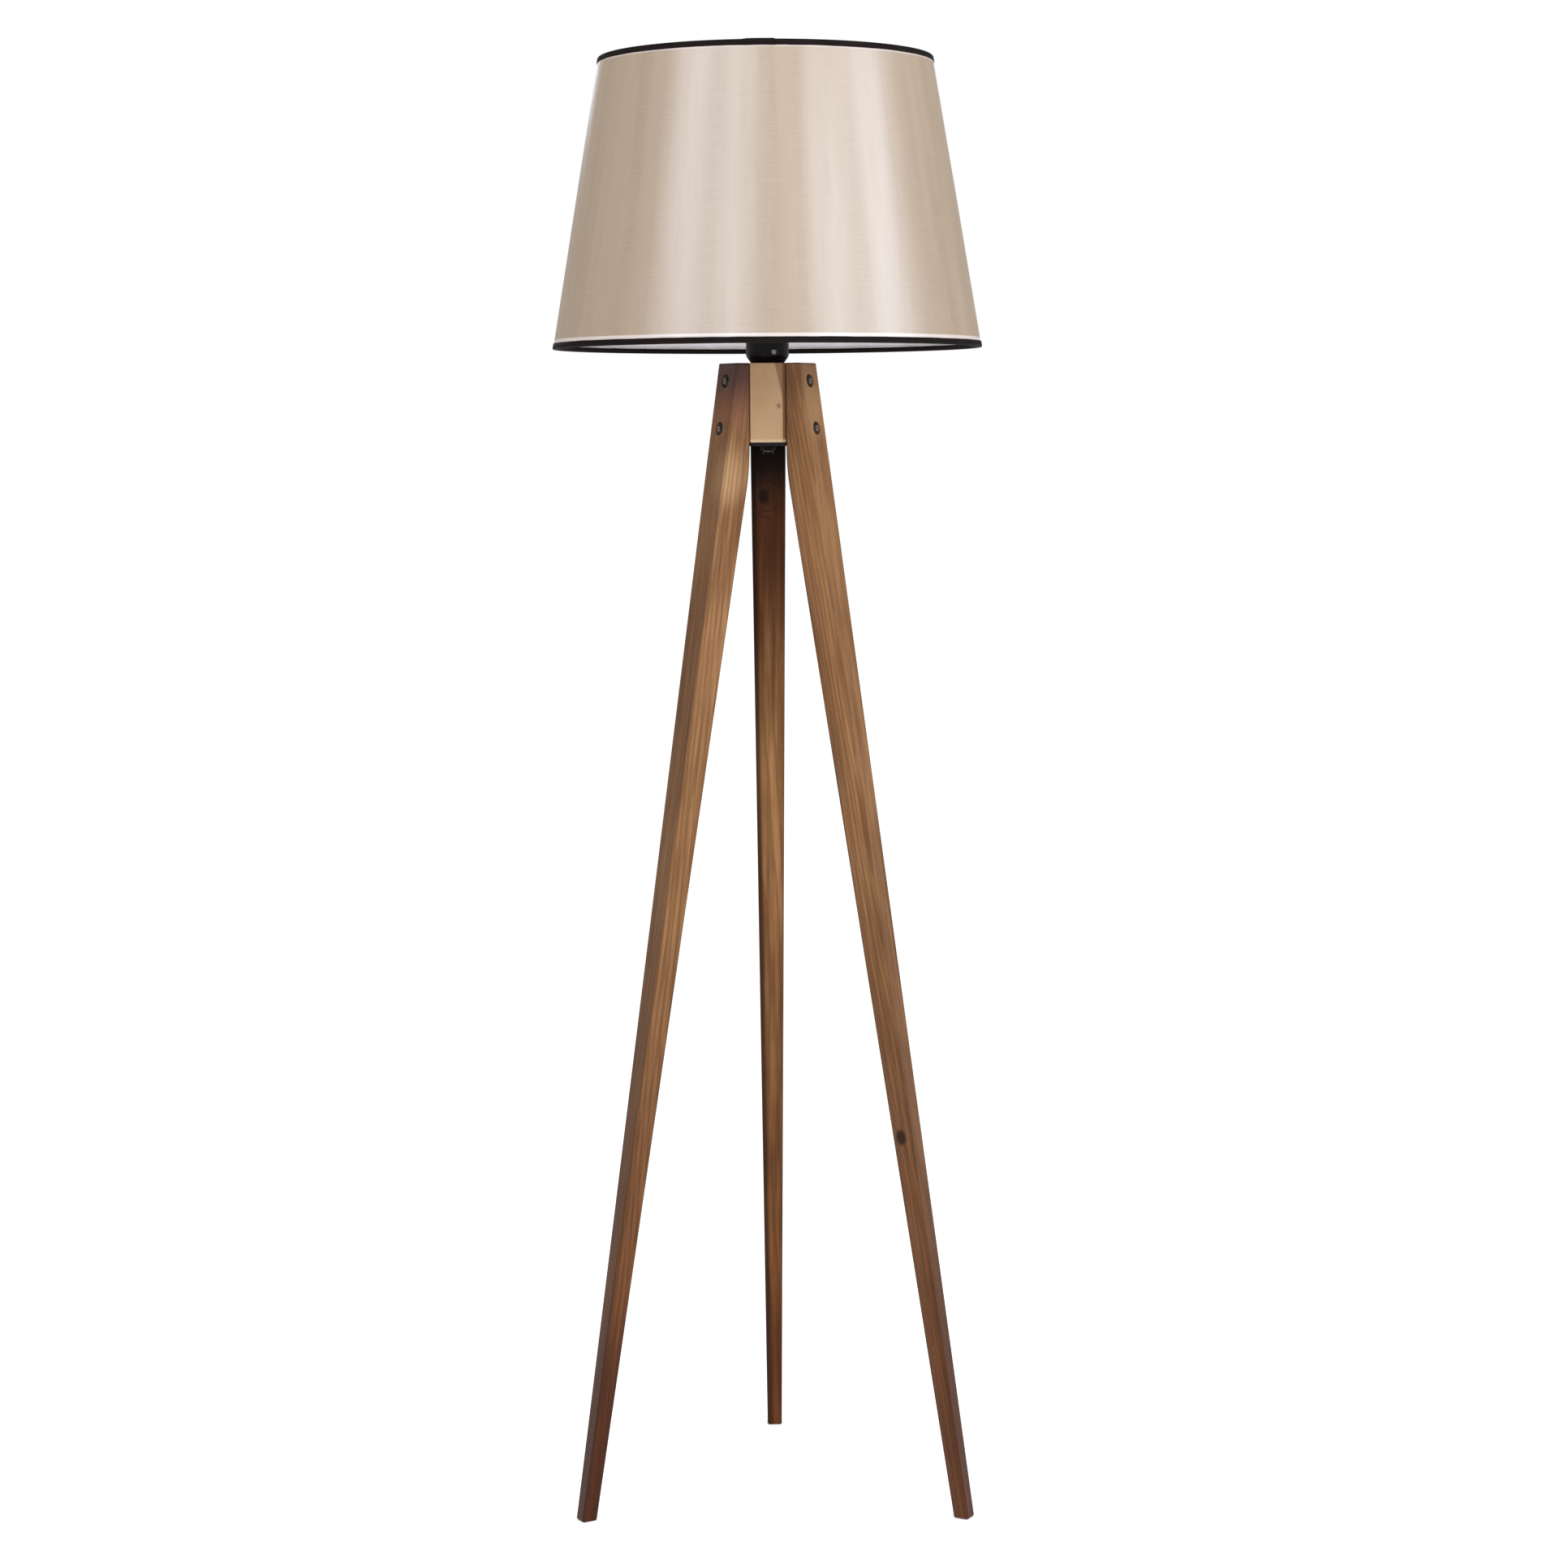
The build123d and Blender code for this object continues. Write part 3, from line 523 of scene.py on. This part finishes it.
def opal():
    """The lamp's milky dome."""
    paint = Paint("opal plastic")
    cloud = paint.noise(paint.place, (60, 60, 60), detail=4)
    fine = paint.noise(paint.place, (2500, 2500, 2500), detail=2)
    colour = paint.mix(paint.step(cloud, 0.3, 0.7), linear("EFEEE8"), linear("F8F8F4"))
    return paint.finish(
        Base_Color=colour,
        Roughness=paint.scaled(cloud, 0.12, 0.26),
        Subsurface_Weight=0.35,
        Subsurface_Radius=(6 * MM, 6 * MM, 6 * MM),
        Subsurface_Scale=1.0,
        Normal=paint.bump(fine, 0.01 * MM, 0.3),
    )


def unrolled(paint):
    """Where a point is round the shade and up it. Gives (angle, height, its place on the flat cloth)."""
    x, y, z = paint.parts(paint.place)
    angle = paint.math("ARCTAN2", y, x)
    return angle, z, paint.joined(paint.times(angle, UNROLL_RADIUS), 0.0, z)


def plain_weave(paint, angle, height):
    """Relief from 0 to 1 of a plain weave, whose threads are counted round the shade and up it."""
    around = paint.times(angle, THREADS_AROUND / (2 * math.pi))
    upwards = paint.times(height, THREADS_UP / SHADE_HEIGHT)
    warp = paint.absolute(paint.math("SINE", paint.times(around, math.pi)))
    weft = paint.absolute(paint.math("SINE", paint.times(upwards, math.pi)))
    return paint.times(warp, weft)


def satin_cloth():
    """Champagne satin with a soft shine, slubs both ways, faint upright shadows and paler rims."""
    paint = Paint("satin cloth")
    angle, height, flat = unrolled(paint)
    threads = plain_weave(paint, angle, height)
    slub_around = paint.noise(flat, (34, 1, 2300), detail=2, roughness=0.5)
    slub_up = paint.noise(flat, (1500, 1, 14), detail=2, roughness=0.5)
    broad = paint.noise(flat, (42, 1, 2.5), detail=3, roughness=0.5)
    colour = paint.mix(paint.step(broad, 0.3, 0.7), linear("947C63"), linear("9D866E"))
    over_hem = paint.minus(height, SHADE_BOTTOM + TAPE_OUTER_HEIGHT)
    under_top = paint.minus(SHADE_TOP - TAPE_OUTER_HEIGHT - TAPE_LAP_THICKNESS, height)
    colour = paint.layered(colour, (
        (paint.step(slub_around, 0.35, 0.7, 0.0, 0.35), "AA967E"),
        (paint.step(slub_up, 0.4, 0.75, 0.0, 0.25), "88715A"),
        (paint.step(over_hem, 3.4 * MM, 5.0 * MM, 0.55, 0.0), "E4D6CE"),
        (paint.step(under_top, 1.0 * MM, 2.2 * MM, 0.4, 0.0), "E4D6CE"),
    ))
    shine = paint.scaled(slub_around, 0.12, 0.30)
    shine = paint.scaled(slub_up, 0.08, shine)
    relief = paint.plus(paint.times(threads, 0.35), paint.plus(slub_around, slub_up))
    return paint.finish(
        Base_Color=colour,
        Roughness=shine,
        Specular_IOR_Level=1.0,
        IOR=1.5,
        Normal=paint.bump(relief, 0.03 * MM, 0.35),
    )


def tape_cloth():
    """Black ribbed binding tape."""
    paint = Paint("black tape")
    ribs = paint.math("SINE", paint.times(unrolled(paint)[0], TAPE_RIBS))
    lint = paint.noise(paint.place, (900, 900, 900), detail=4)
    broad = paint.noise(paint.place, (30, 30, 30), detail=3)
    colour = paint.mix(paint.step(lint, 0.35, 0.75), linear("120B09"), linear("1C1311"))
    colour = paint.mix(paint.step(broad, 0.5, 0.8, 0.0, 0.4), colour, linear("241A18"))
    relief = paint.plus(paint.times(ribs, 0.4), lint)
    return paint.finish(
        Base_Color=colour,
        Roughness=paint.scaled(lint, 0.2, 0.68),
        Specular_IOR_Level=0.08,
        Normal=paint.bump(relief, 0.08 * MM, 0.6),
    )


def liner_plastic():
    """The shade's pale lining: a smooth styrene film with faint ripples."""
    paint = Paint("liner plastic")
    flat = unrolled(paint)[2]
    ripple = paint.noise(flat, (30, 1, 5), detail=3)
    speck = paint.noise(flat, (1600, 1, 1600), detail=2)
    colour = paint.mix(paint.step(ripple, 0.3, 0.7), linear("E8E3E4"), linear("F4F1F2"))
    colour = paint.mix(paint.step(speck, 0.6, 0.8, 0.0, 0.4), colour, linear("DCD6D7"))
    return paint.finish(
        Base_Color=colour,
        Roughness=paint.scaled(ripple, 0.2, 0.38),
        Normal=paint.bump(ripple, 0.3 * MM, 0.3),
    )


def new_object(name, corners, faces, material):
    """A smooth-shaded mesh object, linked into the scene."""
    mesh = bpy.data.meshes.new(name)
    mesh.from_pydata(corners, [], faces)
    mesh.materials.append(material)
    mesh.polygons.foreach_set("use_smooth", [True] * len(mesh.polygons))
    mesh.update()
    piece = bpy.data.objects.new(name, mesh)
    bpy.context.scene.collection.objects.link(piece)
    return piece


def swept(name, sections, closed, material):
    """A mesh through closed cross-sections with the same number of corners, joined end to end or capped."""
    count = len(sections[0])
    corners = [corner for section in sections for corner in section]
    faces = []
    spans = len(sections) if closed else len(sections) - 1
    for span in range(spans):
        near = span * count
        far = (span + 1) % len(sections) * count
        for corner in range(count):
            after = (corner + 1) % count
            faces.append((near + corner, far + corner, far + after, near + after))
    if not closed:
        faces.append(tuple(reversed(range(count))))
        faces.append(tuple(range((len(sections) - 1) * count, len(sections) * count)))
    return new_object(name, corners, faces, material)


def polar(radius, azimuth, height):
    """A point from its distance from the lamp's axis, its azimuth and its height."""
    return Vector((radius * math.cos(azimuth), radius * math.sin(azimuth), height))


def ripple(azimuth, height, seed, coarse):
    """Smooth noise from -1 to 1 round the lamp's axis."""
    return noise.noise(Vector((math.cos(azimuth) * coarse, math.sin(azimuth) * coarse, height * 9 + seed)))


def shade_cloth(material):
    """The cloth: a cone whose overlapping seam is at the back, drawn slightly uneven over its liner."""
    columns, rows = 480, 40
    low, high = (corner.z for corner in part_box("shade_fabric"))
    sections = []
    for column in range(columns):
        azimuth = SEAM_AZIMUTH + 2 * math.pi * column / columns
        outside, inside = [], []
        for row in range(rows + 1):
            height = low + (high - low) * row / rows
            radius = shade_radius(height)
            wave = ripple(azimuth, height, 3.0, 5.0) * CLOTH_WAVE
            wave *= math.sin(math.pi * row / rows)
            past_seam = (azimuth - SEAM_AZIMUTH) * radius
            doubled = CLOTH_THICKNESS if past_seam < SEAM_WIDTH else 0.0
            outside.append(polar(radius + wave + doubled, azimuth, height))
            inside.append(polar(radius - CLOTH_THICKNESS, azimuth, height))
        sections.append(outside + inside[::-1])
    return swept("shade_cloth", sections, True, material)


def rounded(points, radius, steps=4):
    """A polyline with its inner corners rounded off."""
    result = [points[0]]
    for before, corner, after in zip(points, points[1:], points[2:]):
        into = (corner - before).normalized() * radius
        out = (after - corner).normalized() * radius
        for step in range(steps + 1):
            share = step / steps
            start = corner - into
            end = corner + out
            result.append(start.lerp(corner, share).lerp(corner.lerp(end, share), share))
    result.append(points[-1])
    return result


def tape_path(rim, direction, lift):
    """The tape's middle line in its cross-section, from its outer edge over the rim to its inner edge."""
    half = TAPE_THICKNESS / 2
    wall = CLOTH_THICKNESS + LINER_THICKNESS + WIRE_ALLOWANCE
    outer_end = rim + direction * TAPE_OUTER_HEIGHT
    inner_end = rim + direction * TAPE_INNER_HEIGHT
    over = rim + direction * (half - lift)
    points = [
        Vector((shade_radius(outer_end) + half + lift, outer_end)),
        Vector((shade_radius(rim) + half + lift, over)),
        Vector((shade_radius(rim) - wall - half, over)),
        Vector((shade_radius(inner_end) - wall - half, inner_end)),
    ]
    return rounded(points, TAPE_FOLD_RADIUS)


def offset_outline(path, half, direction):
    """Both sides of a path at a distance, as one closed outline."""
    left, right = [], []
    for place, point in enumerate(path):
        ahead = path[min(place + 1, len(path) - 1)] - path[max(place - 1, 0)]
        sideways = Vector((ahead.y, -ahead.x)).normalized() * half * direction
        left.append(point + sideways)
        right.append(point - sideways)
    return left + right[::-1]


def binding_tape(name, rim, direction, lap_azimuth, seed, material):
    """A tape folded over a rim, wound once round, with its last end lying over its first."""
    steps = 540
    lap_turn = TAPE_LAP / shade_radius(rim)
    ramp_turn = TAPE_LAP_RAMP / shade_radius(rim)
    start = math.radians(lap_azimuth) - lap_turn / 2
    whole = 2 * math.pi + lap_turn
    sections = []
    for step in range(steps + 1):
        travelled = whole * step / steps
        azimuth = start + travelled
        climb = (travelled - (2 * math.pi - ramp_turn)) / ramp_turn
        lift = TAPE_LAP_THICKNESS * min(max(climb, 0.0), 1.0)
        section = []
        for point in offset_outline(tape_path(rim, direction, lift), TAPE_THICKNESS / 2, direction):
            sag = ripple(azimuth, point.y, seed, 14.0) * TAPE_WAVE
            edge = abs(point.y - rim) / TAPE_OUTER_HEIGHT
            section.append(polar(point.x, azimuth, point.y + sag * edge))
        sections.append(section if direction > 0 else section[::-1])
    return swept(name, sections, False, material)


finishes = {
    "pale_wood": pale_wood(),
    "black_steel": metal("black steel", "0C0907", "1A1613", 0.55, metallic=0.05, specular=0.14),
    "zinc_steel": metal("zinc steel", "74746F", "989892", 0.40),
    "brass": metal("brass", "A9853E", "C7A55A", 0.32),
    "nickel": metal("nickel", "A9A59C", "C9C6BE", 0.28),
    "black_plastic": plastic("black plastic", "090809", "121011", 0.42, specular=0.14),
    "cream_plastic": plastic("cream plastic", "D9D0BC", "E6DECD", 0.42),
    "white_steel": plastic("white steel", "D6D5D1", "E4E3DF", 0.34),
    "white_plastic": plastic("white plastic", "E4E3DE", "EFEEEA", 0.38),
    "black_glass": plastic("black glass", "0C0A10", "18141C", 0.12, relief=0.004 * MM),
    "opal_plastic": opal(),
    "aluminium": led_plate(),
    "liner_plastic": liner_plastic(),
    "satin_cloth": satin_cloth(),
    "black_tape": tape_cloth(),
}
legs = {
    "leg_left": stained_wood(
        "stained wood, left leg", azimuth=210, seed=1.3,
        heart=(70 * MM, -38 * MM, 0.020, -0.012),
        dark_top=0.85, dark_foot=1.0, painted_shade_outside=0.42,
        light_patches=[(Vector((18 * MM, 8 * MM, 1.105)), Vector((30 * MM, 30 * MM, 45 * MM)))],
    ),
    "leg_right": stained_wood(
        "stained wood, right leg", azimuth=330, seed=7.9,
        heart=(-64 * MM, 46 * MM, -0.016, 0.014),
        knots=[(Vector((-11.6 * MM, -1.6 * MM, 0.407)), Vector((12, 6.5, 9.5)) * MM)],
        light_patches=[(Vector((0, 16 * MM, 1.185)), Vector((30 * MM, 10 * MM, 55 * MM)))],
        dark_top=0.15, dark_foot=0.9, painted_shade_inside=0.4,
    ),
    "leg_back": stained_wood(
        "stained wood, back leg", azimuth=90, seed=4.1,
        heart=(30 * MM, -80 * MM, 0.010, 0.022),
        knots=[(Vector((5 * MM, -16.7 * MM, 1.086)), Vector((6.5, 10, 8.6)) * MM)],
        dark_top=0.5, dark_foot=0.85, painted_shade_left=0.8, edge_stain_and_shade=0.5, shade_and_stain_under_head=0.96, gloss=0.08,
    ),
}
bolts = bolt_steel()
by_node = {**legs, "leg_bolts_upper": bolts, "leg_bolts_lower": bolts}
for node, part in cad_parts.items():
    for holder in part.material_slots:
        holder.material = by_node[node] if node in by_node else finishes[holder.material.name]

cloth = shade_cloth(finishes["satin_cloth"])
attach(cloth, "shade")
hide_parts("shade_fabric")

for name, node, rim, direction, lap_azimuth, seed in (
    ("upper_binding_tape", "shade_upper_tape", SHADE_TOP - TAPE_LAP_THICKNESS, -1, 268.4, 1.0),
    ("lower_binding_tape", "shade_lower_tape", SHADE_TOP - SHADE_HEIGHT, 1, 90.0, 2.0),
):
    tape = binding_tape(name, rim, direction, lap_azimuth, seed, finishes["black_tape"])
    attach(tape, "shade")
    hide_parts(node)


def pale_floor():
    """Pale matt paper that glows more with distance, so that it runs into the backdrop."""
    paint = Paint("pale floor")
    speck = paint.noise(paint.place, (40, 40, 40), detail=4)
    colour = paint.mix(paint.step(speck, 0.3, 0.7), linear("F4F4F3"), linear("F9F9F8"))
    return paint.finish(
        Base_Color=colour,
        Roughness=paint.scaled(speck, 0.1, 0.7),
        Specular_IOR_Level=0.1,
        Emission_Color=linear("FFFFFF"),
        Emission_Strength=paint.step(paint.length(paint.place), 0.6, 5.0, 0.30, 0.75),
    )


floor_rim = [polar(FLOOR_REACH, 2 * math.pi * turn / FLOOR_CORNERS, 0) for turn in range(FLOOR_CORNERS)]
floor = new_object("studio_floor", floor_rim, [tuple(range(FLOOR_CORNERS))], pale_floor())


def studio_world():
    """A white backdrop behind a dimmer room, so that the lamp is lit mostly by its softboxes."""
    world = bpy.data.worlds.new("studio")
    world.use_nodes = True
    nodes, links = world.node_tree.nodes, world.node_tree.links
    backdrop = nodes["Background"]
    backdrop.inputs["Color"].default_value = linear("FFFFFF")
    room = nodes.new("ShaderNodeBackground")
    room.inputs["Color"].default_value = linear("FFFFFF")
    room.inputs["Strength"].default_value = ROOM_STRENGTH
    either = nodes.new("ShaderNodeMixShader")
    links.new(nodes.new("ShaderNodeLightPath").outputs["Is Camera Ray"], either.inputs[0])
    links.new(room.outputs[0], either.inputs[1])
    links.new(backdrop.outputs[0], either.inputs[2])
    links.new(either.outputs[0], nodes["World Output"].inputs["Surface"])
    return world


bpy.context.scene.world = studio_world()
bpy.context.scene.view_settings.view_transform = "Standard"


def strip_light(name, azimuth, width, height, radiance):
    """An upright softbox at an azimuth from the front, facing the shade."""
    turn = math.radians(azimuth)
    data = bpy.data.lights.new(name, "AREA")
    data.shape = "RECTANGLE"
    data.size = width
    data.size_y = STRIP_LENGTH
    data.energy = radiance * math.pi * width * STRIP_LENGTH
    data.color = STRIP_COLOUR
    softbox = bpy.data.objects.new(name, data)
    bpy.context.scene.collection.objects.link(softbox)
    place = Vector((math.sin(turn) * STRIP_DISTANCE, -math.cos(turn) * STRIP_DISTANCE, height))
    softbox.location = place
    towards = UP * (SHADE_TOP + SHADE_BOTTOM) / 2 - place
    softbox.rotation_euler = towards.to_track_quat("-Z", "Y").to_euler()
    softbox.visible_camera = False


for number, strip in enumerate(STRIPS, 1):
    strip_light(f"strip_{number}", *strip)


def photo_camera():
    """The camera at the photo's place, turned by its yaw, pitch and roll."""
    ahead = Vector((
        math.sin(CAMERA_YAW) * math.cos(CAMERA_PITCH),
        math.cos(CAMERA_YAW) * math.cos(CAMERA_PITCH),
        -math.sin(CAMERA_PITCH),
    ))
    level = Vector((math.cos(CAMERA_YAW), -math.sin(CAMERA_YAW), 0))
    above = level.cross(ahead)
    right = level * math.cos(CAMERA_ROLL) - above * math.sin(CAMERA_ROLL)
    top = level * math.sin(CAMERA_ROLL) + above * math.cos(CAMERA_ROLL)
    data = bpy.data.cameras.new("camera")
    data.sensor_width = SENSOR
    data.lens = LENS
    camera = bpy.data.objects.new("camera", data)
    bpy.context.scene.collection.objects.link(camera)
    turned = Matrix((right, top, -ahead)).transposed().to_4x4()
    camera.matrix_world = Matrix.Translation(CAMERA_PLACE) @ turned
    return camera


bpy.context.scene.camera = photo_camera()
